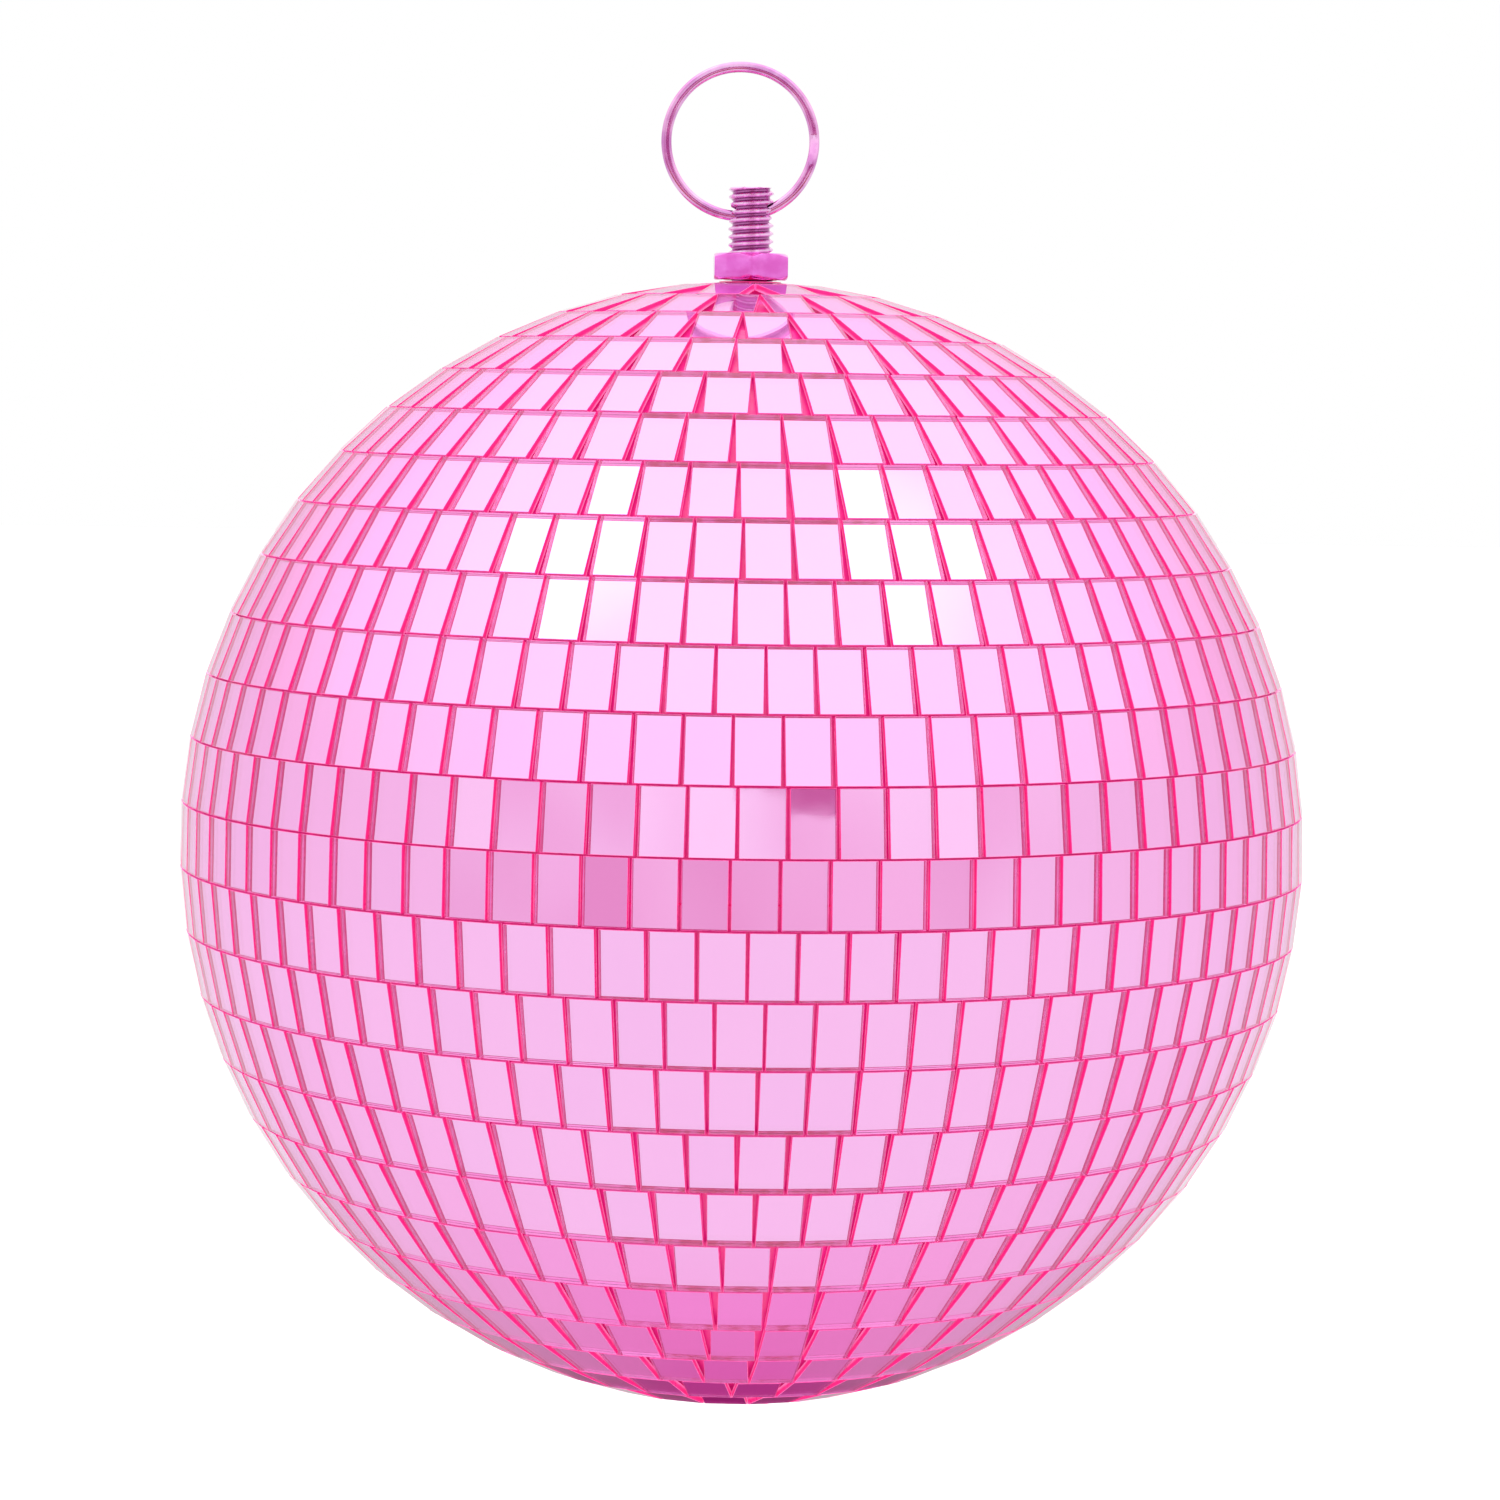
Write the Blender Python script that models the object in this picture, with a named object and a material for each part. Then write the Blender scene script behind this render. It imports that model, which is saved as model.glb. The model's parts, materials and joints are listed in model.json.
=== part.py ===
"""Mirror ball on a split ring: a two-part moulded core covered in rows of small mirrors.

Metres, +Z up. The origin is the point inside the top of the split ring where a hook bears.
X runs along the cross hole that the ring passes through, and the ball hangs straight below.
"""

from math import acos, cos, floor, hypot, pi, radians, sin, sqrt

import bmesh
import bpy
from mathutils import Matrix, Vector

MM = 0.001

# The ball and its mirrors
BALL_RADIUS = 100 * MM  # to the corners of the mirrors
ROW_COUNT = 25
CROWN_RADIUS = 11.84 * MM  # where the top row starts, around the nut
POLE_RADIUS = 15.13 * MM  # where the bottom row ends, around the pole disc
COLUMN_PITCH = 7.95 * MM  # from mirror to mirror along a row
PITCH_LINE = 0.35  # how far up its row the pitch is laid out, in rows from the middle
TILE_WIDTH = 7.2 * MM
TILE_THICKNESS = 1.2 * MM
ROW_GAP = 0.3 * MM  # between the backs of two rows
CROWN_TILES = 8
DISC_SIDES = 48

# The moulded core
CORE_WALL = 2.5 * MM
GLUE_GAP = 0.35 * MM
LAP_HEIGHT = 4 * MM  # of the lip that joins the halves
LAP_GAP = 0.3 * MM
BOSS_WALL = 1.2 * MM
CORE_SIDES = 36
CORE_STEPS = 9

# The bolt, its nut and its washer
STUD_DIAMETER = 8 * MM
FLATS_PER_DIAMETER = 13 / 8
NUT_HEIGHT = 4.7 * MM
NUT_TURN = radians(2.5)
NUT_CHAMFER = radians(30)
NUT_LIFT = 0.1 * MM  # of the nut's seat above the mirrors
HEAD_HEIGHT = 5.3 * MM
WASHER_DIAMETER = 24 * MM
WASHER_THICKNESS = 2 * MM
THREAD_UNDER_HOLE = 5.4 * MM
STUD_OVER_HOLE = 2.2 * MM
TIP_CHAMFER = 0.3 * MM
FIT_GAP = 0.3 * MM  # between pieces that touch
ROUND_SIDES = 40

# The split ring
RING_DIAMETER = 28 * MM
WIRE_DEPTH = 1.8 * MM  # across the ring's own plane, from inside to outside
WIRE_WIDTH = 1.0 * MM  # of one of the two coils
WIRE_CHAMFER = 0.35 * MM
COIL_GAP = 0.1 * MM
COIL_START = radians(5.6)
JOG_ANGLE = radians(22.6)
COIL_END_GAP = radians(1)
COIL_STEPS = 46
JOG_STEPS = 5
RING_SHIFT = 2.1 * MM  # of the ring's centre to the left of the ball's axis
HOLE_CLEARANCE = 0.15 * MM

# Worked out from the sizes above
topLatitude = acos(CROWN_RADIUS / BALL_RADIUS)
bottomLatitude = -acos(POLE_RADIUS / BALL_RADIUS)
rowAngle = (topLatitude - bottomLatitude) / ROW_COUNT
mirrorDistance = BALL_RADIUS - 0.5 * (TILE_WIDTH / 2) ** 2 / BALL_RADIUS  # ball centre to a mirror's face
mirrorDistance -= BALL_RADIUS * (1 - cos(rowAngle / 2))
backDistance = mirrorDistance - TILE_THICKNESS
tileHeight = 2 * backDistance * sin(rowAngle / 2) / cos(rowAngle / 2) - ROW_GAP
coreRadius = backDistance - GLUE_GAP
hollowRadius = coreRadius - CORE_WALL
studRadius = STUD_DIAMETER / 2
boreRadius = studRadius + FIT_GAP
bossRadius = boreRadius + BOSS_WALL
acrossFlats = FLATS_PER_DIAMETER * STUD_DIAMETER
cornerRadius = acrossFlats / 2 / cos(pi / 6)
nutSeat = BALL_RADIUS + NUT_LIFT
nutTop = nutSeat + NUT_HEIGHT
coilPitch = WIRE_WIDTH + COIL_GAP
ringRadius = (RING_DIAMETER - WIRE_DEPTH) / 2
ringOuter = RING_DIAMETER / 2
ringInner = ringOuter - WIRE_DEPTH


def holeRadius():
    """The smallest cross hole that lets the ring's arc turn in it about the hole's own axis."""
    halfHeight = (ringOuter - chord(ringInner, RING_SHIFT + studRadius)) / 2
    halfWidth = (coilPitch + WIRE_WIDTH) / 2
    tall = hypot(halfHeight, halfWidth - WIRE_CHAMFER)
    wide = hypot(halfHeight - WIRE_CHAMFER, halfWidth)
    return max(tall, wide) + HOLE_CLEARANCE


def chord(radius, aside):
    """Height of a circle of this radius above its centre, this far to one side of it."""
    return sqrt(radius * radius - aside * aside)


crossHoleRadius = holeRadius()
holeHeight = nutTop + THREAD_UNDER_HOLE + crossHoleRadius
studTop = holeHeight + crossHoleRadius + STUD_OVER_HOLE
ringHeight = holeHeight + (ringOuter + chord(ringInner, RING_SHIFT + studRadius)) / 2
hangHeight = ringHeight + chord(ringInner, RING_SHIFT)
padRadius = WASHER_DIAMETER / 2 + 2 * FIT_GAP
padHeight = chord(hollowRadius, padRadius)
washerTop = padHeight - FIT_GAP
headTop = washerTop - WASHER_THICKNESS - FIT_GAP
discRadius = POLE_RADIUS - 2 * ROW_GAP
discFace = chord(BALL_RADIUS, discRadius)
discSeat = discFace - TILE_THICKNESS - FIT_GAP


def clearScene():
    for thing in list(bpy.data.objects):
        bpy.data.objects.remove(thing)


def finish(name, color, roughness, metallic):
    material = bpy.data.materials.new(name)
    material.use_nodes = True
    shader = material.node_tree.nodes["Principled BSDF"]
    shader.inputs["Base Color"].default_value = (*color, 1)
    shader.inputs["Roughness"].default_value = roughness
    shader.inputs["Metallic"].default_value = metallic
    material.diffuse_color = (*color, 1)
    return material


def empty(name, place, parent=None):
    marker = bpy.data.objects.new(name, None)
    bpy.context.scene.collection.objects.link(marker)
    marker.parent = parent
    marker.location = place
    return marker


def piece(name, shape, material, parent, place):
    """A named object from a bmesh, smooth where it is round."""
    bmesh.ops.recalc_face_normals(shape, faces=shape.faces)
    mesh = bpy.data.meshes.new(name)
    shape.to_mesh(mesh)
    shape.free()
    mesh.materials.append(material)
    mesh.shade_smooth()
    mesh.set_sharp_from_angle(angle=radians(15))
    made = bpy.data.objects.new(name, mesh)
    bpy.context.scene.collection.objects.link(made)
    made.parent = parent
    made.location = place
    return made


def turned(profile, sides, start=0.0):
    """A closed outline of (radius, height) points turned about Z, as a ring of that many flat sides."""
    shape = bmesh.new()
    points = [shape.verts.new((radius, 0, height)) for radius, height in profile]
    edges = [shape.edges.new(pair) for pair in zip(points, points[1:] + points[:1])]
    bmesh.ops.rotate(shape, verts=points, cent=(0, 0, 0), matrix=Matrix.Rotation(start, 3, "Z"))
    bmesh.ops.spin(
        shape, geom=points + edges, cent=(0, 0, 0), axis=(0, 0, 1), angle=2 * pi,
        steps=sides, use_merge=True,
    )
    bmesh.ops.remove_doubles(shape, verts=shape.verts, dist=1e-6)
    return shape


def arc(radius, low, high, steps):
    """(radius, height) points on a circle about the ball's centre, between two heights."""
    first = acos(chord(radius, low) / radius) * (1 if low >= 0 else -1)
    last = acos(chord(radius, high) / radius) * (1 if high >= 0 else -1)
    angles = [first + (last - first) * i / steps for i in range(steps + 1)]
    return [(radius * cos(a), radius * sin(a)) for a in angles]


def cut(target, cutter, operation="DIFFERENCE"):
    cutter.hide_render = True
    cutter.display_type = "WIRE"
    modifier = target.modifiers.new(cutter.name, "BOOLEAN")
    modifier.operation = operation
    modifier.solver = "EXACT"
    modifier.object = cutter


def prism(low, high, turn):
    """A hexagonal bar along Z between two heights, a corner facing -Y and then turned."""
    shape = bmesh.new()
    made = bmesh.ops.create_circle(shape, cap_ends=True, segments=6, radius=cornerRadius)
    spin = Matrix.Rotation(turn, 3, "Z")
    bmesh.ops.rotate(shape, verts=made["verts"], cent=(0, 0, 0), matrix=spin)
    bmesh.ops.translate(shape, verts=made["verts"], vec=(0, 0, low))
    grown = bmesh.ops.extrude_face_region(shape, geom=shape.faces[:])
    tops = [item for item in grown["geom"] if isinstance(item, bmesh.types.BMVert)]
    bmesh.ops.translate(shape, verts=tops, vec=(0, 0, high - low))
    return shape


def splitRing(parent, material):
    """Two flat coils of wire side by side, which step from one to the other across the jog."""
    shape = bmesh.new()
    deep, wide, bevel = WIRE_DEPTH / 2, WIRE_WIDTH / 2, WIRE_CHAMFER
    corners = [
        (deep, bevel - wide), (deep, wide - bevel), (deep - bevel, wide), (bevel - deep, wide),
        (-deep, wide - bevel), (-deep, bevel - wide), (bevel - deep, -wide), (deep - bevel, -wide),
    ]
    section = [shape.verts.new((ringRadius + out, across - coilPitch / 2, 0)) for out, across in corners]
    face = shape.faces.new(section)
    start = Matrix.Rotation(-COIL_START - COIL_END_GAP, 3, "Y")
    bmesh.ops.rotate(shape, verts=section, cent=(0, 0, 0), matrix=start)
    coil = 2 * pi - JOG_ANGLE - COIL_END_GAP
    stretches = ((coil, COIL_STEPS, 0), (JOG_ANGLE, JOG_STEPS, coilPitch), (coil, COIL_STEPS, 0))
    last = [face, *face.edges, *face.verts]
    for angle, steps, aside in stretches:
        swept = bmesh.ops.spin(
            shape, geom=last, cent=(0, 0, 0), axis=(0, -1, 0), angle=angle, steps=steps,
            dvec=(0, aside / steps, 0),
        )
        last = swept["geom_last"]
    return piece("split_ring", shape, material, parent, (-RING_SHIFT, 0, ringHeight - hangHeight))


def rowPhase(row):
    """Where a row's first mirror starts, as a share of one mirror: no two neighbours line up."""
    return (row * (sqrt(5) - 1) / 2) % 1


def tileRow(row, parent, place, material):
    """One row of mirrors: a flat side for each mirror, its edges square to its face."""
    latitude = topLatitude - (row - 0.5) * rowAngle
    leaning = abs(latitude)
    half = tileHeight / 2

    def at(distance, up):
        return distance * cos(leaning) - up * sin(leaning), distance * sin(leaning) + up * cos(leaning)

    laidOut = 2 * pi * BALL_RADIUS * cos(leaning + PITCH_LINE * rowAngle) / COLUMN_PITCH
    fits = 2 * pi * at(backDistance, half)[0] / TILE_WIDTH
    count = min(round(laidOut), floor(fits))
    spread = 1 / cos(pi / count)  # puts the middle of each side, and not its corner, on the row's edge
    outline = []
    for distance, up in ((mirrorDistance, half), (backDistance, half), (backDistance, -half),
                         (mirrorDistance, -half)):
        radius, height = at(distance, up)
        radius *= spread if up > 0 else 1
        outline.append((radius, height if latitude > 0 else -height))
    shape = turned(outline, count, 2 * pi * rowPhase(row) / count)
    piece(f"tile_row_{row:02d}", shape, material, parent, place)


def crownTiles(parent, place, material):
    """The ring of trimmed mirrors that closes the top around the nut's seat."""
    inner = bossRadius + FIT_GAP
    outer = CROWN_RADIUS - 2 * ROW_GAP
    spread = 1 / cos(pi / CROWN_TILES)
    face = mirrorDistance
    outline = [
        (inner * spread, chord(face, inner)), (outer, chord(face, outer)),
        (outer - TILE_THICKNESS * outer / face, chord(face, outer) - TILE_THICKNESS),
        (inner * spread, chord(face, inner) - TILE_THICKNESS),
    ]
    piece("crown_tiles", turned(outline, CROWN_TILES), material, parent, place)


def poleDisc(parent, place, material):
    """The round mirror that closes the bottom."""
    outline = [(0, -discFace), (discRadius, -discFace), (discRadius, TILE_THICKNESS - discFace),
               (0, TILE_THICKNESS - discFace)]
    piece("pole_disc", turned(outline, DISC_SIDES), material, parent, place)


def coreUpper(parent, place, material):
    """The upper moulded half, with the seat for the nut outside and for the washer inside."""
    rebate = hollowRadius + CORE_WALL / 2
    joint = LAP_GAP / 2
    outline = [(rebate, joint)]
    outline += arc(coreRadius, joint, chord(coreRadius, bossRadius), CORE_STEPS)
    outline += [(bossRadius, nutSeat - FIT_GAP), (boreRadius, nutSeat - FIT_GAP), (boreRadius, padHeight)]
    outline += arc(hollowRadius, LAP_HEIGHT, padHeight, CORE_STEPS)[::-1]
    outline += [(rebate, LAP_HEIGHT)]
    piece("core_upper", turned(outline, CORE_SIDES), material, parent, place)


def coreLower(parent, place, material):
    """The lower moulded half, with the lip that the upper half fits over and a flat for the pole disc."""
    lip = hollowRadius + CORE_WALL / 2 - LAP_GAP
    joint = LAP_GAP / 2
    lipTop = LAP_HEIGHT - LAP_GAP
    outline = [(0, -discSeat)]
    outline += arc(coreRadius, -discSeat, -joint, CORE_STEPS)
    outline += [(lip, -joint), (lip, lipTop)]
    outline += arc(hollowRadius, -hollowRadius, lipTop, CORE_STEPS)[::-1]
    piece("core_lower", turned(outline, CORE_SIDES), material, parent, place)


def suspensionBolt(parent, place, material):
    """The bolt pushed out through the core from inside, cross-drilled for the split ring."""
    tip = studRadius - TIP_CHAMFER
    outline = [
        (0, studTop), (tip, studTop), (studRadius, studTop - TIP_CHAMFER),
        (studRadius, headTop - HEAD_HEIGHT / 2), (0, headTop - HEAD_HEIGHT / 2),
    ]
    bolt = piece("suspension_bolt", turned(outline, ROUND_SIDES), material, parent, place)
    head = piece("bolt_head_shape", prism(headTop - HEAD_HEIGHT, headTop, NUT_TURN), material, parent, place)
    drill = bmesh.new()
    bmesh.ops.create_cone(
        drill, cap_ends=True, segments=ROUND_SIDES, radius1=crossHoleRadius, radius2=crossHoleRadius,
        depth=2 * STUD_DIAMETER, matrix=Matrix.Rotation(pi / 2, 4, "Y"),
    )
    hole = piece("cross_hole_drill", drill, material, parent, place + Vector((0, 0, holeHeight)))
    cut(bolt, head, "UNION")
    cut(bolt, hole)


def hexNut(parent, place, material):
    """The nut on top of the ball, chamfered on both faces."""
    nut = piece("hex_nut", prism(nutSeat, nutTop, NUT_TURN), material, parent, place)
    rim = acrossFlats / 2 * 0.96
    reach = cornerRadius + FIT_GAP
    drop = (reach - rim) * sin(NUT_CHAMFER) / cos(NUT_CHAMFER)
    outline = [
        (boreRadius, nutTop), (rim, nutTop), (reach, nutTop - drop), (reach, nutSeat + drop),
        (rim, nutSeat), (boreRadius, nutSeat),
    ]
    envelope = piece("nut_chamfer_shape", turned(outline, ROUND_SIDES), material, parent, place)
    cut(nut, envelope, "INTERSECT")


def innerWasher(parent, place, material):
    """The wide washer that spreads the bolt's pull inside the core."""
    outer = WASHER_DIAMETER / 2
    low = washerTop - WASHER_THICKNESS
    outline = [(boreRadius, washerTop), (outer, washerTop), (outer, low), (boreRadius, low)]
    piece("inner_washer", turned(outline, ROUND_SIDES), material, parent, place)


def main():
    clearScene()
    mirror = finish("pink_mirror", (0.93, 0.42, 0.72), 0.06, 0.9)
    plastic = finish("pink_plastic", (0.86, 0.16, 0.45), 0.4, 0.0)
    lacquer = finish("pink_lacquered_steel", (0.90, 0.36, 0.76), 0.22, 0.9)
    steel = finish("zinc_plated_steel", (0.72, 0.72, 0.74), 0.3, 1.0)
    chrome = finish("chrome", (0.83, 0.70, 0.80), 0.08, 1.0)

    hook = empty("hang_point", (0, 0, 0))
    pivot = empty("ball_pivot", (0, 0, holeHeight - hangHeight), hook)
    centre = Vector((0, 0, -holeHeight))  # the ball's centre, below the pivot

    splitRing(hook, chrome)
    suspensionBolt(pivot, centre, lacquer)
    hexNut(pivot, centre, lacquer)
    innerWasher(pivot, centre, steel)
    coreUpper(pivot, centre, plastic)
    coreLower(pivot, centre, plastic)
    crownTiles(pivot, centre, mirror)
    for row in range(1, ROW_COUNT + 1):
        tileRow(row, pivot, centre, mirror)
    poleDisc(pivot, centre, mirror)


main()
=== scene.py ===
import json
import random
from math import acos, atan, cos, floor, pi, radians, sin, sqrt, tan

import bmesh
import bpy
from mathutils import Euler, Matrix, Vector


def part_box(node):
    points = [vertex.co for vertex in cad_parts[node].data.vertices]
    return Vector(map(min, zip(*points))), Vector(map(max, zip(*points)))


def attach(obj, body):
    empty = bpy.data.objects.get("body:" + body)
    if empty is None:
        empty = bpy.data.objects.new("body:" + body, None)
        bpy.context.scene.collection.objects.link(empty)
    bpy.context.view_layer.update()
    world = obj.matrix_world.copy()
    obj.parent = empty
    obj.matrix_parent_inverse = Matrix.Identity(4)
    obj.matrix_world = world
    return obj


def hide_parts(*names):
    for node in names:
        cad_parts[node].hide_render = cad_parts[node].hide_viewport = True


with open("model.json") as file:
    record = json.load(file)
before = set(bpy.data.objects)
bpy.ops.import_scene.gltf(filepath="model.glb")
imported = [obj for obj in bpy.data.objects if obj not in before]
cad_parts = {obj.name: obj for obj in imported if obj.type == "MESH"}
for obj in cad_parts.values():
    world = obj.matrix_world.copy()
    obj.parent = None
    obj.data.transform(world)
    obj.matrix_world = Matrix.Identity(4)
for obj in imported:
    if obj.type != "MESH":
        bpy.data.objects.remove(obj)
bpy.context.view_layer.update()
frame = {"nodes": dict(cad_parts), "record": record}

mm = 0.001
nodes = frame["nodes"]
hingeHeight = frame["record"]["behaviour"]["joints"][0]["pos_m"][2]
coreGap = 0.15 * mm  # from the ball's middle to where the core's upper half starts
ballCentre = Vector((0, 0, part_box("core_upper")[0].z - coreGap))
# how close points are before they are taken as one
merging = {"outline": 0.001 * mm, "sweep": 0.002 * mm, "cut": 0.0002 * mm, "sliver": 0.0001 * mm}
print("frame loaded,", len(nodes), "CAD nodes")


def addPiece(name, shape, materials, body, replaced, sharpAngle):  # no angle: all flat
    mesh = bpy.data.meshes.new(name)
    shape.to_mesh(mesh)
    shape.free()
    for material in materials:
        mesh.materials.append(material)
    piece = bpy.data.objects.new(name, mesh)
    bpy.context.scene.collection.objects.link(piece)
    if sharpAngle:
        mesh.shade_smooth()
        mesh.set_sharp_from_angle(angle=radians(sharpAngle))
    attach(piece, body)
    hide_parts(replaced)
    return piece


def turnOutline(outline, steps):  # a closed outline of (radius, height) turned about Z
    shape = bmesh.new()
    points = [shape.verts.new((radius, 0, height)) for radius, height in outline]
    edges = [shape.edges.new(pair) for pair in zip(points, points[1:] + points[:1])]
    bmesh.ops.spin(shape, geom=points + edges, cent=(0, 0, 0), axis=(0, 0, 1),
                   angle=2 * pi, steps=steps, use_merge=True)
    bmesh.ops.remove_doubles(shape, verts=shape.verts, dist=merging["outline"])
    bmesh.ops.recalc_face_normals(shape, faces=shape.faces)
    return shape


def hexBar(acrossFlats, low, high, turn):  # a hexagonal bar along Z, turned from a corner at -Y
    shape = bmesh.new()
    corner = acrossFlats / 2 / cos(pi / 6)
    place = Matrix.Translation((0, 0, (low + high) / 2)) @ Matrix.Rotation(turn, 4, "Z")
    bmesh.ops.create_cone(shape, cap_ends=True, segments=6, radius1=corner, radius2=corner,
                          depth=high - low, matrix=place)
    return shape


def combine(shape, other, operation):  # a Boolean of two shapes, which uses both up
    pair = []
    for name, part in (("bodyShape", shape), ("toolShape", other)):
        mesh = bpy.data.meshes.new(name)
        part.to_mesh(mesh)
        part.free()
        pair.append(bpy.data.objects.new(name, mesh))
        bpy.context.scene.collection.objects.link(pair[-1])
    modifier = pair[0].modifiers.new("combine", "BOOLEAN")
    modifier.operation = operation
    modifier.solver = "EXACT"
    modifier.object = pair[1]
    solved = pair[0].evaluated_get(bpy.context.evaluated_depsgraph_get())
    made = bmesh.new()
    made.from_mesh(solved.to_mesh())
    for item in pair:
        bpy.data.objects.remove(item)
    bmesh.ops.remove_doubles(made, verts=made.verts, dist=merging["cut"])
    bmesh.ops.dissolve_degenerate(made, dist=merging["sliver"], edges=made.edges)
    return made


def softenEdges(shape, width, angle, segments=2):  # rounds every edge sharper than the angle
    sharp = [edge for edge in shape.edges
             if edge.is_manifold and edge.calc_face_angle(0) > radians(angle)]
    bmesh.ops.bevel(shape, geom=sharp, offset=width, offset_type="OFFSET", segments=segments,
                    profile=0.5, affect="EDGES", material=-1, clamp_overlap=True)


class Flow:  # a socket that can be used in sums like a number
    def __init__(self, tree, socket=None):
        self.tree = tree
        self.socket = socket

    def add(self, kind, settings, values):  # any node, its settings before its sockets
        made = self.tree.nodes.new(kind)
        for name, value in settings.items():
            if name == "stops":
                self.fillRamp(made.color_ramp, value)
            else:
                setattr(made, name, value)
        for name, value in values.items():
            if isinstance(value, Flow):
                self.tree.links.new(value.socket, made.inputs[name])
            else:
                made.inputs[name].default_value = value
        return made

    def fillRamp(self, ramp, stops):
        while len(ramp.elements) < len(stops):
            ramp.elements.new(1.0)
        for element, (place, color) in zip(ramp.elements, stops):
            element.position = place
            element.color = (*color, 1)

    def out(self, made, name=0):
        return Flow(self.tree, made.outputs[name])

    def sum(self, operation, first, second=0.0):
        made = self.add("ShaderNodeMath", {"operation": operation}, {0: first, 1: second})
        return self.out(made)

    def __add__(self, other): return self.sum("ADD", self, other)
    def __radd__(self, other): return self.sum("ADD", other, self)
    def __sub__(self, other): return self.sum("SUBTRACT", self, other)
    def __rsub__(self, other): return self.sum("SUBTRACT", other, self)
    def __mul__(self, other): return self.sum("MULTIPLY", self, other)
    def __rmul__(self, other): return self.sum("MULTIPLY", other, self)
    def __truediv__(self, other): return self.sum("DIVIDE", self, other)
    def __abs__(self): return self.sum("ABSOLUTE", self)

    def ease(self, low, high, first=0.0, last=1.0):  # from first to last between two values
        made = self.add("ShaderNodeMapRange", {"interpolation_type": "SMOOTHSTEP"}, {
            "Value": self, "From Min": low, "From Max": high, "To Min": first, "To Max": last})
        return self.out(made)

    def tint(self, first, last):  # two colours mixed by this value
        made = self.add("ShaderNodeMix", {"data_type": "RGBA"}, {0: self, 6: first, 7: last})
        return self.out(made, 2)

    def noise(self, place, scale, detail=2.0):
        return self.out(self.add("ShaderNodeTexNoise", {}, {
            "Vector": place, "Scale": scale, "Detail": detail}))

    def place(self):
        return self.out(self.add("ShaderNodeTexCoord", {}, {}), "Object")


def startMaterial(name):
    material = bpy.data.materials.new(name)
    material.use_nodes = True
    material.node_tree.nodes.clear()
    return material, Flow(material.node_tree)


def finishMaterial(flow, values, bump=None, strength=0.1, distance=0.1 * mm, volume=None):
    if bump is not None:
        values["Normal"] = flow.out(flow.add("ShaderNodeBump", {}, {
            "Strength": strength, "Distance": distance, "Height": bump}), "Normal")
    shader = flow.add("ShaderNodeBsdfPrincipled", {}, values)
    ends = {"Surface": flow.out(shader)}
    if volume is not None:
        ends["Volume"] = flow.out(volume)
    flow.add("ShaderNodeOutputMaterial", {}, ends)


def clearPinkGlass():  # the body of a mirror, pink through its depth
    look = {"shallow": (1.0, 0.93, 0.98), "deep": (1.0, 0.86, 0.96), "density": 150.0,
            "absorb": (0.97, 0.25, 0.80), "ior": 1.5}
    material, flow = startMaterial("clearPinkGlass")
    each = flow.out(flow.add("ShaderNodeNewGeometry", {}, {}), "Random Per Island")
    smear = flow.noise(flow.place(), 160.0).ease(0.45, 0.75)
    volume = flow.add("ShaderNodeVolumeAbsorption", {}, {
        "Color": (*look["absorb"], 1), "Density": look["density"]})
    finishMaterial(flow, {
        "Base Color": each.tint((*look["shallow"], 1), (*look["deep"], 1)),
        "Roughness": smear * 0.03, "IOR": look["ior"], "Transmission Weight": 1.0}, volume=volume)
    return material


def silvering():  # behind a mirror, a little wavy
    look = {"light": (0.95, 0.71, 0.92), "dark": (0.92, 0.62, 0.89), "blotch": 90.0, "ripple": 60.0}
    material, flow = startMaterial("pinkSilvering")
    each = flow.out(flow.add("ShaderNodeNewGeometry", {}, {}), "Random Per Island")
    place = flow.place()
    blotch = flow.noise(place, look["blotch"])
    ripple = flow.noise(place, look["ripple"], 1.0)
    finishMaterial(flow, {
        "Base Color": (each * 0.7 + blotch * 0.3).tint((*look["dark"], 1), (*look["light"], 1)),
        "Roughness": blotch.ease(0.4, 0.8, 0.01, 0.05), "Metallic": 1.0},
        bump=ripple, strength=0.05, distance=0.3 * mm)
    return material


def mirroredWallPaintedGlow():  # the silvering on a mirror's upper and lower sides, with a painted crimson glow
    # painted glow: these sides give off crimson light of their own, though they are no lamp
    look = {"light": (0.99, 0.62, 0.86), "dark": (0.98, 0.46, 0.78), "grain": 500.0,
            "paintedGlowColor": (0.90, 0.09, 0.42), "paintedGlow": 0.12}
    material, flow = startMaterial("mirroredWallPaintedGlow")
    each = flow.out(flow.add("ShaderNodeNewGeometry", {}, {}), "Random Per Island")
    place = flow.place()
    blotch = flow.noise(place, look["grain"])
    finishMaterial(flow, {
        "Base Color": (each * 0.5 + blotch * 0.5).tint((*look["dark"], 1), (*look["light"], 1)),
        "Roughness": blotch.ease(0.3, 0.8, 0.05, 0.16), "Metallic": 0.85,
        "Emission Color": (*look["paintedGlowColor"], 1), "Emission Strength": look["paintedGlow"]},
        bump=blotch, strength=0.08, distance=0.1 * mm)
    return material


def dyedWallPaintedGlow():  # a mirror's left and right sides, a deeper pink towards its face, with a painted glow in the same pink
    # painted glow: the wall's pink is also given off as light, though these sides are no lamp
    look = {"deep": (1.0, 0.38, 0.74), "front": (0.80, 0.03, 0.27), "grain": 500.0, "paintedGlow": 0.3,
            "from": 98.85 * mm, "to": 99.4 * mm, "ragged": 0.2 * mm}
    material, flow = startMaterial("dyedWallPaintedGlow")
    place = flow.place()
    blotch = flow.noise(place, look["grain"])
    centred = flow.out(flow.add("ShaderNodeVectorMath", {"operation": "DISTANCE"},
                                {0: place, 1: ballCentre}), "Value")
    shade = (centred + blotch * look["ragged"]).ease(look["from"], look["to"])
    pink = shade.tint((*look["deep"], 1), (*look["front"], 1))
    finishMaterial(flow, {
        "Base Color": pink, "Emission Color": pink, "Emission Strength": look["paintedGlow"],
        "Roughness": blotch.ease(0.3, 0.8, 0.25, 0.45), "Metallic": 0.3},
        bump=blotch, strength=0.08, distance=0.1 * mm)
    return material


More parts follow.
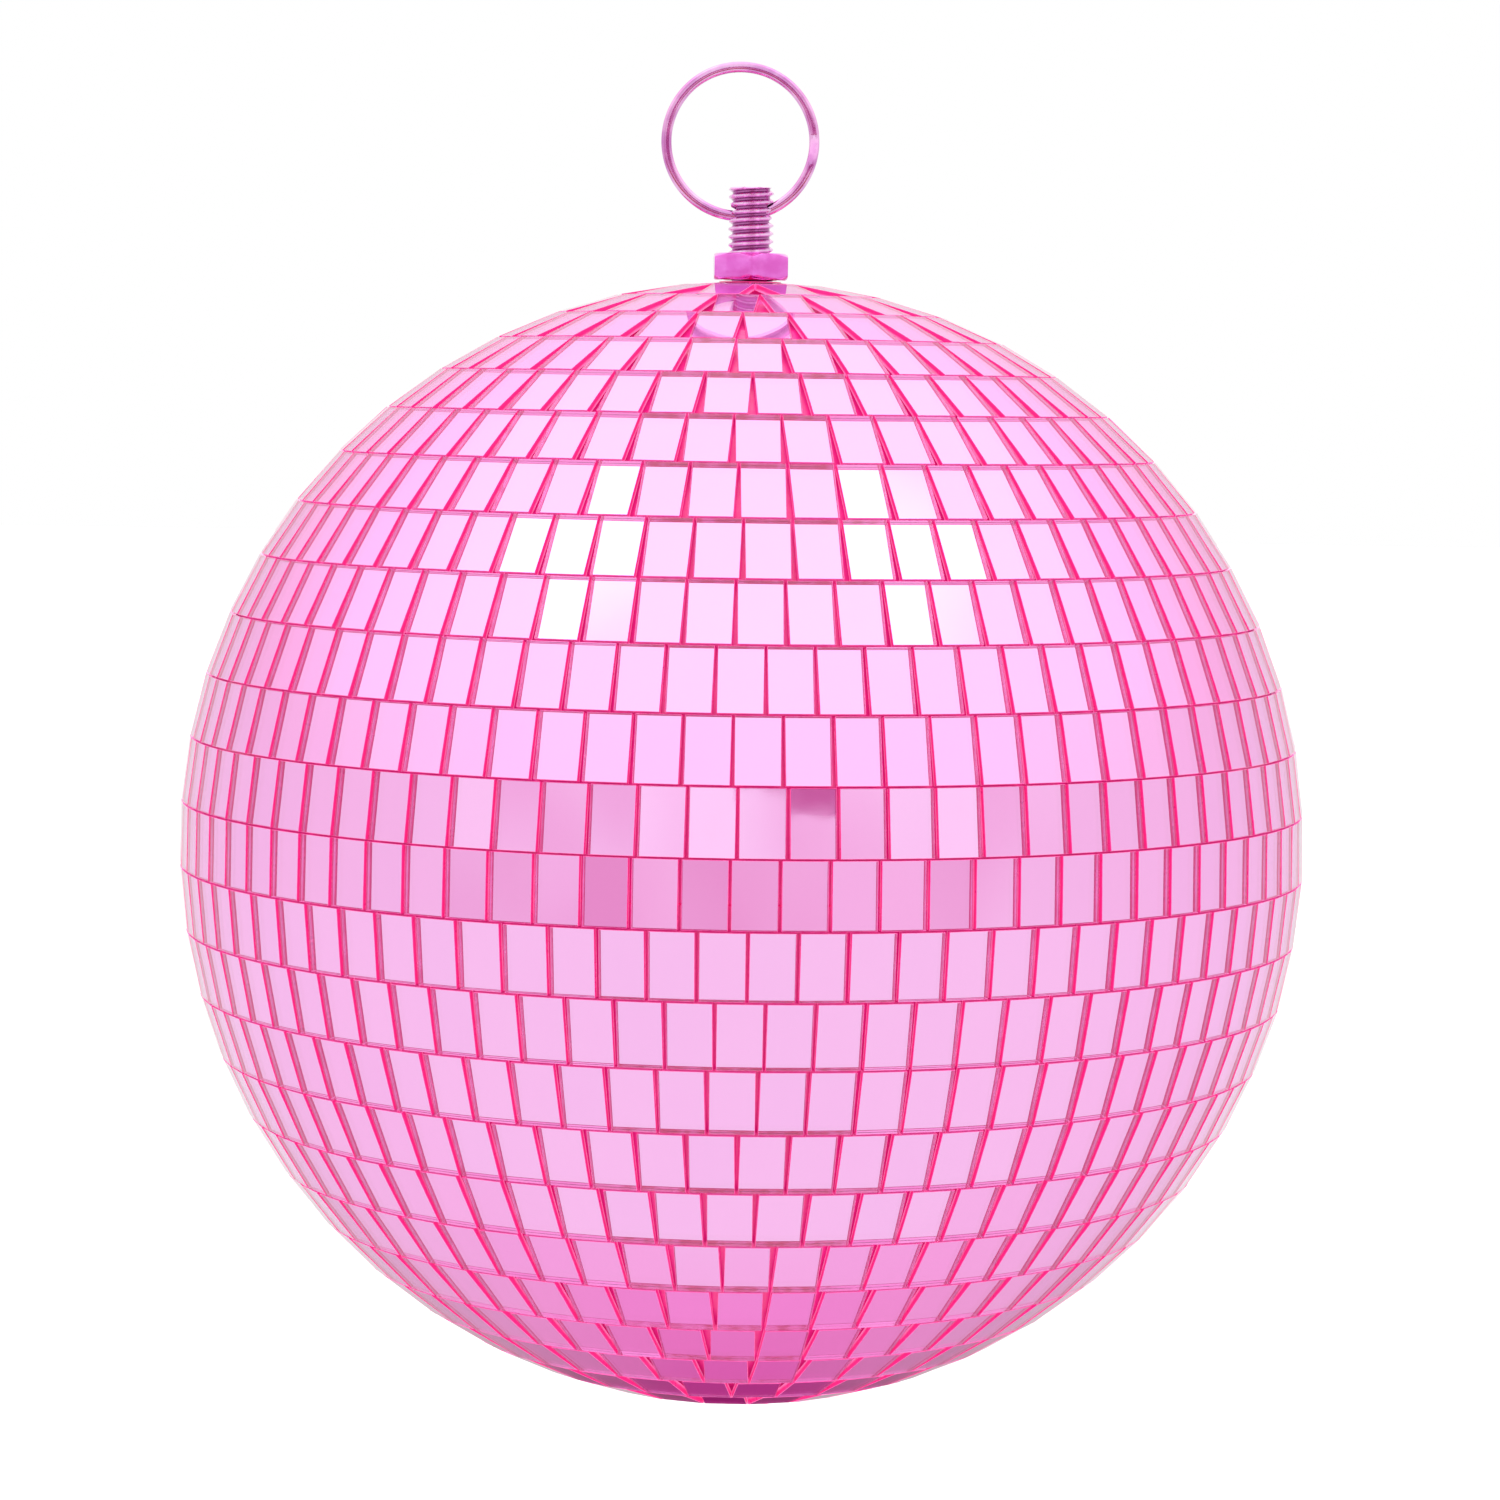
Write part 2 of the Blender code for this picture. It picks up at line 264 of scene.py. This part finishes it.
def dyedEdgePaintedGlow():  # the ground edge around a mirror's face, with a painted crimson glow
    # painted glow: the edge gives off crimson light of its own, though it is no lamp
    look = {"light": (1.0, 0.14, 0.50), "dark": (0.92, 0.05, 0.36), "chips": 700.0,
            "paintedGlowColor": (0.92, 0.06, 0.38), "paintedGlow": 0.12}
    material, flow = startMaterial("dyedEdgePaintedGlow")
    place = flow.place()
    chips = flow.noise(place, look["chips"], 4.0)
    finishMaterial(flow, {
        "Base Color": chips.ease(0.35, 0.65).tint((*look["light"], 1), (*look["dark"], 1)),
        "Roughness": chips.ease(0.3, 0.7, 0.2, 0.45), "Coat Weight": 0.3,
        "Emission Color": (*look["paintedGlowColor"], 1), "Emission Strength": look["paintedGlow"]}, bump=chips,
        strength=0.2, distance=0.03 * mm)
    return material


def mouldedPlasticPaintedGlow():  # the core, with a painted pink glow that brightens it in the gaps between the mirrors
    # painted glow: the core gives off pink light of its own, though it is no lamp
    look = {"hot": (0.96, 0.02, 0.32), "cool": (0.90, 0.01, 0.24),
            "paintedGlowColor": (0.72, 0.02, 0.30), "paintedGlow": 0.24}
    material, flow = startMaterial("mouldedPinkPlasticPaintedGlow")
    place = flow.place()
    swirl = flow.noise(place, 40.0, 4.0)
    grain = flow.noise(place, 900.0, 3.0)
    finishMaterial(flow, {
        "Base Color": swirl.ease(0.35, 0.65).tint((*look["hot"], 1), (*look["cool"], 1)),
        "Roughness": grain.ease(0.3, 0.7, 0.28, 0.42), "Coat Weight": 0.4, "Coat Roughness": 0.15,
        "Emission Color": (*look["paintedGlowColor"], 1), "Emission Strength": look["paintedGlow"]},
        bump=grain, strength=0.15, distance=0.05 * mm)
    return material


def pinkLacquer():  # the nut
    look = {"light": (0.86, 0.20, 0.74), "dark": (0.74, 0.11, 0.58)}
    material, flow = startMaterial("pinkLacquer")
    place = flow.place()
    cloud = flow.noise(place, 250.0, 3.0)
    peel = flow.noise(place, 1400.0, 2.0)
    finishMaterial(flow, {
        "Base Color": cloud.ease(0.35, 0.7).tint((*look["light"], 1), (*look["dark"], 1)),
        "Roughness": cloud.ease(0.3, 0.8, 0.05, 0.12), "Metallic": 0.95,
        "Coat Weight": 0.6, "Coat Roughness": 0.06}, bump=peel, strength=0.12, distance=0.04 * mm)
    return material


def platedThread():  # the bolt, with painted shade down in its thread
    look = {"light": (0.90, 0.56, 0.84), "dark": (0.78, 0.40, 0.70), "paintedRootShade": (0.42, 0.12, 0.34),
            "valleyRadius": 3.3 * mm, "crestRadius": 3.75 * mm}
    material, flow = startMaterial("platedThread")
    place = flow.place()
    cloud = flow.noise(place, 400.0, 4.0)
    grain = flow.noise(place, 2500.0, 3.0)
    parts = flow.add("ShaderNodeSeparateXYZ", {}, {"Vector": place})
    outward = flow.sum("SQRT", flow.out(parts, "X") * flow.out(parts, "X")
                       + flow.out(parts, "Y") * flow.out(parts, "Y"))
    # painted shade: the colour darkens from the thread's crests down into its roots
    height = outward.ease(look["valleyRadius"], look["crestRadius"])
    metal = cloud.ease(0.35, 0.7).tint((*look["light"], 1), (*look["dark"], 1))
    finishMaterial(flow, {
        "Base Color": height.tint((*look["paintedRootShade"], 1), metal),
        "Roughness": grain.ease(0.3, 0.7, 0.10, 0.20), "Metallic": 1.0},
        bump=grain, strength=0.05, distance=0.01 * mm)
    return material


def zincSteel():  # the washer inside
    look = {"light": (0.78, 0.78, 0.80), "dark": (0.62, 0.62, 0.65)}
    material, flow = startMaterial("zincSteel")
    place = flow.place()
    cloud = flow.noise(place, 300.0, 5.0)
    finishMaterial(flow, {
        "Base Color": cloud.tint((*look["light"], 1), (*look["dark"], 1)),
        "Roughness": cloud.ease(0.3, 0.7, 0.25, 0.4), "Metallic": 1.0},
        bump=cloud, strength=0.15, distance=0.05 * mm)
    return material


def ringChromePaintedReflection():  # the split ring, its chrome tinted with a painted reflection of the pink light around it
    # painted reflection: the chrome's base colour carries the magenta that its surroundings would
    # reflect
    look = {"light": (0.82, 0.44, 0.73), "dark": (0.58, 0.20, 0.52)}
    material, flow = startMaterial("ringChromePaintedReflection")
    place = flow.place()
    cloud = flow.noise(place, 220.0, 3.0)
    drawn = flow.noise(place, 1800.0, 2.0)
    finishMaterial(flow, {
        "Base Color": cloud.ease(0.3, 0.7).tint((*look["light"], 1), (*look["dark"], 1)),
        "Roughness": drawn.ease(0.3, 0.8, 0.05, 0.12), "Metallic": 1.0},
        bump=drawn, strength=0.03, distance=0.01 * mm)
    return material


glass = clearPinkGlass()
silver = silvering()
wall = mirroredWallPaintedGlow()
side = dyedWallPaintedGlow()
dyed = dyedEdgePaintedGlow()
plastic = mouldedPlasticPaintedGlow()
lacquer = pinkLacquer()
thread = platedThread()
zinc = zincSteel()
chrome = ringChromePaintedReflection()
for name, material in (("core_upper", plastic), ("core_lower", plastic), ("inner_washer", zinc)):
    for holder in nodes[name].material_slots:
        holder.material = material
print("finishes made")


mirrors = {
    "radius": 100 * mm, "rows": 25, "thickness": 1.2 * mm,
    "crownRadius": 11.84 * mm, "poleRadius": 15.13 * mm,  # where the rows stop, above and below
    "columnPitch": 7.95 * mm, "pitchLine": 0.35,  # measured this share of a row from its middle
    "width": 7.2 * mm, "cut": 7.36 * mm,  # what a row is planned with, and the widest that is cut
    "least": 0.14 * mm, "rowGap": 0.18 * mm,  # gaps at the mirrors' backs
    "chamfer": 0.05 * mm, "sway": 0.45, "slip": 0.04 * mm, "seed": 11}  # sway in degrees

topLatitude = acos(mirrors["crownRadius"] / mirrors["radius"])
bottomLatitude = -acos(mirrors["poleRadius"] / mirrors["radius"])
rowAngle = (topLatitude - bottomLatitude) / mirrors["rows"]
mirrorDistance = (mirrors["radius"] * cos(rowAngle / 2)
                  - mirrors["width"] ** 2 / 8 / mirrors["radius"])  # ball centre to a mirror's face
backDistance = mirrorDistance - mirrors["thickness"]
mirrorHeight = 2 * backDistance * tan(rowAngle / 2) - mirrors["rowGap"]
draw = random.Random(mirrors["seed"])

mirrorFinishes = (glass, silver, wall, dyed, side)
clearFace, backFace, upDownFace, edgeFace, leftRightFace = range(5)
facing = {"back": -0.9, "side": 0.3, "edge": 0.95, "level": 0.02, "east": 0.8}


def silverSides(shape, pointsOut):  # gives a mirror's faces their finishes by the way they look
    for face in shape.faces:
        out = pointsOut(face)
        outward = face.normal.dot(out)
        east = Vector((0, 0, 1)).cross(out).normalized()
        sideways = (abs(face.normal.z) < facing["level"]
                    or face.normal.dot(east) ** 2 > facing["east"])
        if outward < facing["back"]:
            face.material_index = backFace
        elif outward < facing["side"]:
            face.material_index = leftRightFace if sideways else upDownFace
        elif outward < facing["edge"]:
            face.material_index = edgeFace


def awayFromCentre(face):
    return (face.calc_center_median() - ballCentre).normalized()


def chamferAll(shape):
    bmesh.ops.bevel(shape, geom=shape.edges[:], offset=mirrors["chamfer"], offset_type="OFFSET",
                    segments=1, profile=0.5, affect="EDGES", material=-1, clamp_overlap=True)


def buildMirrorRow(row):
    latitude = topLatitude - (row - 0.5) * rowAngle
    leaning = abs(latitude)
    laidOut = 2 * pi * mirrors["radius"] * cos(leaning + mirrors["pitchLine"] * rowAngle)
    poleEdge = backDistance * cos(leaning) - mirrorHeight / 2 * sin(leaning)
    count = min(round(laidOut / mirrors["columnPitch"]),
                floor(2 * pi * poleEdge / mirrors["width"]))
    start = (row * (sqrt(5) - 1) / 2) % 1  # no two neighbouring rows line up
    width = min(mirrors["cut"], 2 * poleEdge * tan(pi / count) - mirrors["least"])
    size = Matrix.Diagonal((mirrors["thickness"], width, mirrorHeight, 1))
    shape = bmesh.new()
    for index in range(count):
        turn = (start + index + 0.5) * 2 * pi / count
        sway = [radians(draw.uniform(-1, 1) * mirrors["sway"]) for axis in range(2)]
        slip = draw.uniform(-1, 1) * mirrors["slip"]
        place = (Matrix.Translation(ballCentre) @ Matrix.Rotation(turn, 4, "Z")
                 @ Matrix.Rotation(-latitude, 4, "Y")
                 @ Matrix.Translation((mirrorDistance - mirrors["thickness"] / 2, slip, 0))
                 @ Euler((0, *sway)).to_matrix().to_4x4())
        bmesh.ops.create_cube(shape, size=1, matrix=place @ size)
    chamferAll(shape)
    silverSides(shape, awayFromCentre)
    node = f"tile_row_{row:02d}"
    addPiece(f"mirrors_row_{row:02d}", shape, mirrorFinishes, "ball", node, None)
    return count


counts = [buildMirrorRow(row) for row in range(1, mirrors["rows"] + 1)]
print("mirrors made:", sum(counts), "in", len(counts), "rows")


def buildCrown():
    crown = {"count": 8, "inner": 5.85 * mm, "outer": 10.3 * mm, "gap": 0.3 * mm}  # around the nut
    half = pi / crown["count"]
    length = crown["outer"] - crown["inner"]
    middle = (crown["outer"] + crown["inner"]) / 2
    slope = atan(middle / mirrorDistance)
    lift = sqrt(mirrorDistance ** 2 - middle ** 2) - mirrors["thickness"] / 2
    shape = bmesh.new()
    for index in range(crown["count"]):
        made = bmesh.ops.create_cube(shape, size=1)["verts"]
        for way, radius in ((-1, crown["inner"]), (1, crown["outer"])):
            end = [vert for vert in made if vert.co.x * way > 0]
            width = 2 * radius * tan(half) - crown["gap"]
            bmesh.ops.scale(shape, verts=end, vec=(length, width, mirrors["thickness"]))
        place = (Matrix.Translation(ballCentre) @ Matrix.Rotation((index + 0.5) * 2 * half, 4, "Z")
                 @ Matrix.Translation((middle, 0, lift)) @ Matrix.Rotation(slope, 4, "Y"))
        bmesh.ops.transform(shape, matrix=place, verts=made)
    chamferAll(shape)
    silverSides(shape, awayFromCentre)
    addPiece("crown_mirrors", shape, mirrorFinishes, "ball", "crown_tiles", None)


def buildPoleMirror():
    pole = {"steps": 72, "edge": 0.25 * mm, "edgeSteps": 3, "sharp": 12}
    low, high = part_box("pole_disc")
    radius = (high.x - low.x) / 2
    shape = bmesh.new()
    bmesh.ops.create_cone(shape, cap_ends=True, segments=pole["steps"], radius1=radius,
                          radius2=radius, depth=high.z - low.z,
                          matrix=Matrix.Translation((low + high) / 2))
    softenEdges(shape, pole["edge"], 60, pole["edgeSteps"])
    silverSides(shape, lambda face: Vector((0, 0, -1)))
    addPiece("pole_mirror", shape, mirrorFinishes, "ball", "pole_disc",
             pole["sharp"])


buildCrown()
buildPoleMirror()
print("crown and pole mirrors made")


bolt = {
    "radius": 4.0 * mm, "rootRadius": 3.32 * mm, "pitch": 1.41 * mm, "crest": 0.2, "steps": 56,
    "headFlats": 13 * mm, "headHeight": 5.3 * mm, "headEdge": 0.3 * mm, "turn": 2.5,
    "holeRadius": 2.0 * mm, "holeSteps": 44, "holeLength": 12 * mm,
    "tip": 0.3 * mm, "tipSteps": 64, "spare": 0.5 * mm, "overlap": 1 * mm}


def threadedRod(low, high):  # a ridge wound up a rod, made too long and then cut to length
    shape = bmesh.new()
    pitch = bolt["pitch"]
    flank = (1 - 2 * bolt["crest"]) / 2 * pitch
    turns = int((high - low) / pitch) + 3
    points = []
    for turn in range(turns):
        foot = low - 1.5 * pitch + turn * pitch
        for radius, up in ((bolt["rootRadius"], 0), (bolt["rootRadius"], bolt["crest"] * pitch),
                           (bolt["radius"], bolt["crest"] * pitch + flank),
                           (bolt["radius"], pitch - flank)):
            points.append(shape.verts.new((radius, 0, foot + up)))
    edges = [shape.edges.new(pair) for pair in zip(points, points[1:])]
    bmesh.ops.spin(shape, geom=points + edges, cent=(0, 0, 0), axis=(0, 0, 1), angle=2 * pi,
                   steps=bolt["steps"], dvec=(0, 0, pitch / bolt["steps"]))
    bmesh.ops.remove_doubles(shape, verts=shape.verts, dist=merging["sweep"])
    for height, way in ((low, -1), (high, 1)):
        bmesh.ops.bisect_plane(shape, geom=shape.verts[:] + shape.edges[:] + shape.faces[:],
                               dist=merging["sliver"], plane_co=(0, 0, height),
                               plane_no=(0, 0, way), clear_outer=True)
        rim = [edge for edge in shape.edges if edge.is_boundary
               and abs(edge.verts[0].co.z - height) < merging["outline"]]
        bmesh.ops.contextual_create(shape, geom=rim)
    bmesh.ops.recalc_face_normals(shape, faces=shape.faces)
    return shape


def buildBolt():
    low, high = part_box("suspension_bolt")
    headTop = low.z + bolt["headHeight"]
    wide = bolt["radius"] + bolt["spare"]
    rod = threadedRod(headTop - bolt["overlap"], high.z)
    tip = turnOutline([(0, high.z), (bolt["radius"] - bolt["tip"], high.z),
                       (wide, high.z - bolt["tip"] - bolt["spare"]), (wide, low.z), (0, low.z)],
                      bolt["tipSteps"])
    rod = combine(rod, tip, "INTERSECT")
    drill = bmesh.new()
    along = Matrix.Translation((0, 0, hingeHeight)) @ Matrix.Rotation(pi / 2, 4, "Y")
    bmesh.ops.create_cone(drill, cap_ends=True, segments=bolt["holeSteps"],
                          radius1=bolt["holeRadius"], radius2=bolt["holeRadius"],
                          depth=bolt["holeLength"], matrix=along)
    rod = combine(rod, drill, "DIFFERENCE")
    head = hexBar(bolt["headFlats"], low.z, headTop, radians(bolt["turn"]))
    softenEdges(head, bolt["headEdge"], 40)
    rod = combine(rod, head, "UNION")
    spare = [vert for vert in rod.verts if len(vert.link_edges) == 2]  # along the cross hole's rim
    bmesh.ops.dissolve_verts(rod, verts=spare)
    addPiece("threaded_bolt", rod, (thread,), "ball", "suspension_bolt", 28)


def buildNut():
    nut = {"flats": 13 * mm, "bore": 4.3 * mm, "countersink": 0.5 * mm, "edge": 0.16 * mm,
           "rim": 6.24 * mm, "reach": 7.9 * mm, "slope": 30, "steps": 96}  # the round chamfer
    low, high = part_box("hex_nut")
    drop = (nut["reach"] - nut["rim"]) * tan(radians(nut["slope"]))
    sink = nut["countersink"]
    outline = [(nut["bore"], low.z + sink), (nut["bore"], high.z - sink),
               (nut["bore"] + sink, high.z), (nut["rim"], high.z), (nut["reach"], high.z - drop),
               (nut["reach"], low.z + drop), (nut["rim"], low.z), (nut["bore"] + sink, low.z)]
    shape = combine(hexBar(nut["flats"], low.z, high.z, radians(bolt["turn"])),
                    turnOutline(outline, nut["steps"]), "INTERSECT")
    softenEdges(shape, nut["edge"], 20)
    addPiece("chamfered_nut", shape, (lacquer,), "ball", "hex_nut", 35)


buildBolt()
buildNut()
print("bolt and nut made")


def buildRing():
    ring = {"outer": 14 * mm, "depth": 1.8 * mm, "width": 1.0 * mm, "round": 0.47 * mm,
            "coilGap": 0.1 * mm, "shift": 2.1 * mm, "coilSteps": 132, "jogSteps": 12,
            "start": 5.6, "jog": 22.6, "endGap": 1.0}  # in degrees
    pitch = ring["width"] + ring["coilGap"]
    inner = ring["outer"] - ring["depth"]
    middle = ring["outer"] - ring["depth"] / 2
    coil = 360 - ring["jog"] - ring["endGap"]
    shape = bmesh.new()
    bmesh.ops.create_grid(shape, x_segments=1, y_segments=1, size=0.5)
    bmesh.ops.scale(shape, verts=shape.verts, vec=(ring["depth"], ring["width"], 1))
    bmesh.ops.bevel(shape, geom=shape.verts[:], offset=ring["round"], offset_type="OFFSET",
                    segments=4, profile=0.5, affect="VERTICES", material=-1)
    bmesh.ops.translate(shape, verts=shape.verts, vec=(middle, -pitch / 2, 0))
    bmesh.ops.rotate(shape, verts=shape.verts, cent=(0, 0, 0),
                     matrix=Matrix.Rotation(radians(-ring["start"] - ring["endGap"]), 3, "Y"))

    # one coil, the step across and the other coil
    stretches = [(coil, ring["coilSteps"], 0)]
    for step in range(ring["jogSteps"]):
        before, after = (share * share * (3 - 2 * share)
                         for share in (step / ring["jogSteps"], (step + 1) / ring["jogSteps"]))
        stretches.append((ring["jog"] / ring["jogSteps"], 1, pitch * (after - before)))
    stretches.append((coil, ring["coilSteps"], 0))
    last = shape.faces[:] + shape.edges[:] + shape.verts[:]
    for angle, steps, aside in stretches:
        swept = bmesh.ops.spin(shape, geom=last, cent=(0, 0, 0), axis=(0, -1, 0),
                               angle=radians(angle), steps=steps, dvec=(0, aside / steps, 0))
        last = swept["geom_last"]
    bmesh.ops.remove_doubles(shape, verts=shape.verts, dist=merging["sweep"])
    inside = [face for face in shape.faces if len(face.verts) > 4
              and all(len(edge.link_faces) > 2 for edge in face.edges)]
    bmesh.ops.delete(shape, geom=inside, context="FACES_ONLY")
    bmesh.ops.recalc_face_normals(shape, faces=shape.faces)
    hang = sqrt(inner ** 2 - ring["shift"] ** 2)  # the hook bears above the ball's axis
    bmesh.ops.translate(shape, verts=shape.verts, vec=(-ring["shift"], 0, -hang))
    addPiece("coiled_ring", shape, (chrome,), "hanging_ring", "split_ring", 40)


buildRing()
print("split ring made")


studio = {
    "floorHeight": -1.1, "floorSize": 30.0,
    "sky": 0.99, "slope": 0.33, "top": 0.22, "boxes": 0.9,  # light from above and two soft boxes
    "behind": (0.05, 0.22, 0.14),  # what that light loses behind the ball
    "below": (1.02, 1.10, 1.06), "around": (0.93, 0.74, 0.84), "clutter": 0.24,
    "far": [(0.0, (1.0, 1.04, 1.02)), (0.10, (1.0, 0.85, 0.95)), (0.28, (0.97, 0.52, 0.80)),
            (0.49, (0.88, 0.37, 0.66)), (0.67, (0.77, 0.22, 0.53)), (0.82, (0.48, 0.06, 0.28)),
            (0.94, (0.30, 0.01, 0.14))]}


def paintStudio():  # the room, as the mirrors see it; the camera sees white
    world = bpy.data.worlds.new("studio")
    world.use_nodes = True
    world.node_tree.nodes.clear()
    bpy.context.scene.world = world
    flow = Flow(world.node_tree)
    direction = flow.out(flow.add("ShaderNodeTexCoord", {}, {}), "Generated")
    parts = flow.add("ShaderNodeSeparateXYZ", {}, {"Vector": direction})
    across, depth, height = (flow.out(parts, axis) for axis in "XYZ")
    aside = abs(across)
    azimuth = abs(flow.sum("ARCTAN2", across, depth * -1.0) * (180 / pi))  # 0 at the camera's side
    elevation = flow.sum("ARCSINE", height) * (180 / pi)

    # overhead light, a little weaker behind the ball, and two soft boxes
    level = (studio["sky"] + height.ease(0.08, 0.5, 0, studio["slope"])
             + height.ease(0.45, 0.8, 0, studio["top"]))
    weaker = depth.ease(-0.1, 0.6) * height.ease(0.05, 0.3) * height.ease(0.6, 0.85, 1, 0)
    boxes = (aside.ease(0.25, 0.30) * aside.ease(0.58, 0.63, 1, 0)
             * depth.ease(-0.53, -0.49) * depth.ease(-0.08, -0.02, 1, 0) * height.ease(0.2, 0.3))
    level = level + boxes * studio["boxes"]
    upper = flow.add("ShaderNodeCombineColor", {}, {
        channel: level - weaker * loss for channel, loss in enumerate(studio["behind"])})

    # the low far side, where little light comes from
    far = flow.add("ShaderNodeValToRGB", {"stops": studio["far"]}, {0: (depth + 0.1) / 1.1})
    color = height.ease(-0.30, -0.02, 1, 0).tint(flow.out(upper), (*studio["below"], 1))
    wide = (height.ease(-0.50, -0.30, 1, 0)
            * (aside + depth * 0.35).ease(0.2, 0.85, 1, 0.12))
    narrow = height.ease(-0.42, -0.16, 1, 0) * aside.ease(0.04, 0.26, 1, 0)
    low = flow.sum("MAXIMUM", wide, narrow) * depth.ease(-0.1, 0.0)
    color = low.tint(color, flow.out(far))

    # the camera's side at the ball's own height, with uneven things standing there
    around = azimuth.ease(30.0, 62.0, 1, 0) * abs(elevation + 4.0).ease(3.0, 9.0, 1, 0)
    color = around.tint(color, (*studio["around"], 1))
    uneven = studio["clutter"]
    clutter = flow.noise(direction, 5.5, 1.0).ease(0.38, 0.62, -uneven, uneven)
    near = azimuth.ease(45.0, 75.0, 1, 0) * abs(elevation - 3.0).ease(9.0, 19.0, 1, 0)
    dim = 1.0 - clutter * near
    patch = flow.add("ShaderNodeCombineColor", {}, {
        0: dim * 0.3 + 0.7, 1: dim, 2: dim * 0.6 + 0.4})
    color = flow.out(flow.add("ShaderNodeMix", {"data_type": "RGBA", "blend_type": "MULTIPLY"},
                              {0: 1.0, 6: color, 7: flow.out(patch)}), 2)
    seen = flow.out(flow.add("ShaderNodeLightPath", {}, {}), "Is Camera Ray")
    light = flow.add("ShaderNodeBackground", {}, {"Color": seen.tint(color, (1, 1, 1, 1))})
    flow.add("ShaderNodeOutputWorld", {}, {"Surface": flow.out(light)})


def buildFloor():  # pale, and out of the mirrors' sight
    shape = bmesh.new()
    bmesh.ops.create_grid(shape, x_segments=4, y_segments=4, size=studio["floorSize"])
    bmesh.ops.translate(shape, verts=shape.verts, vec=(0, 0, studio["floorHeight"]))
    mesh = bpy.data.meshes.new("floor")
    shape.to_mesh(mesh)
    shape.free()
    material, flow = startMaterial("paleFloor")
    finishMaterial(flow, {"Base Color": (0.97, 0.97, 0.97, 1), "Roughness": 0.9})
    mesh.materials.append(material)
    surface = bpy.data.objects.new("floor", mesh)
    bpy.context.scene.collection.objects.link(surface)
    surface.visible_glossy = False
    surface.visible_transmission = False


def buildCards():  # dark things around the camera, seen only in the mirrors and the metal
    # each one's size, its place from the camera and its colour
    cards = {"cameraBar": ((0.84, 0.01, 0.052), (0, -0.03, 0), (0.40, 0.11, 0.10)),
             "cameraHood": ((0.26, 0.01, 0.066), (0.07, -0.03, 0.091), (0.46, 0.16, 0.32))}
    lensPlace = bpy.context.scene.camera.location
    for name, (size, offset, color) in cards.items():
        shape = bmesh.new()
        bmesh.ops.create_cube(shape, size=1)
        bmesh.ops.scale(shape, verts=shape.verts, vec=size)
        bmesh.ops.translate(shape, verts=shape.verts, vec=lensPlace + Vector(offset))
        mesh = bpy.data.meshes.new(name)
        shape.to_mesh(mesh)
        shape.free()
        material, flow = startMaterial(name)
        finishMaterial(flow, {"Base Color": (*color, 1), "Roughness": 0.8})
        mesh.materials.append(material)
        card = bpy.data.objects.new(name, mesh)
        bpy.context.scene.collection.objects.link(card)
        card.visible_camera = False
        card.visible_shadow = False
        card.visible_diffuse = False


def placeCamera():
    shot = {"distance": 0.788, "elevation": 5.905, "lens": 105.4,
            "panRight": 0.11, "tiltUp": 1.19, "roll": 0.875}
    lifted = radians(shot["elevation"])
    back = Vector((0, -cos(lifted), sin(lifted)))
    lens = bpy.data.cameras.new("camera")
    lens.lens = shot["lens"]
    lens.sensor_width = 36.0
    lens.clip_start, lens.clip_end = 0.01, 100.0
    camera = bpy.data.objects.new("camera", lens)
    bpy.context.scene.collection.objects.link(camera)
    camera.location = ballCentre + back * shot["distance"]
    nudge = Euler((radians(shot["tiltUp"]), radians(-shot["panRight"]), radians(shot["roll"])))
    camera.rotation_mode = "QUATERNION"
    camera.rotation_quaternion = (-back).to_track_quat("-Z", "Y") @ nudge.to_quaternion()
    bpy.context.scene.camera = camera


paintStudio()
buildFloor()
placeCamera()
buildCards()
bpy.context.scene.view_settings.view_transform = "Standard"
print("studio made")
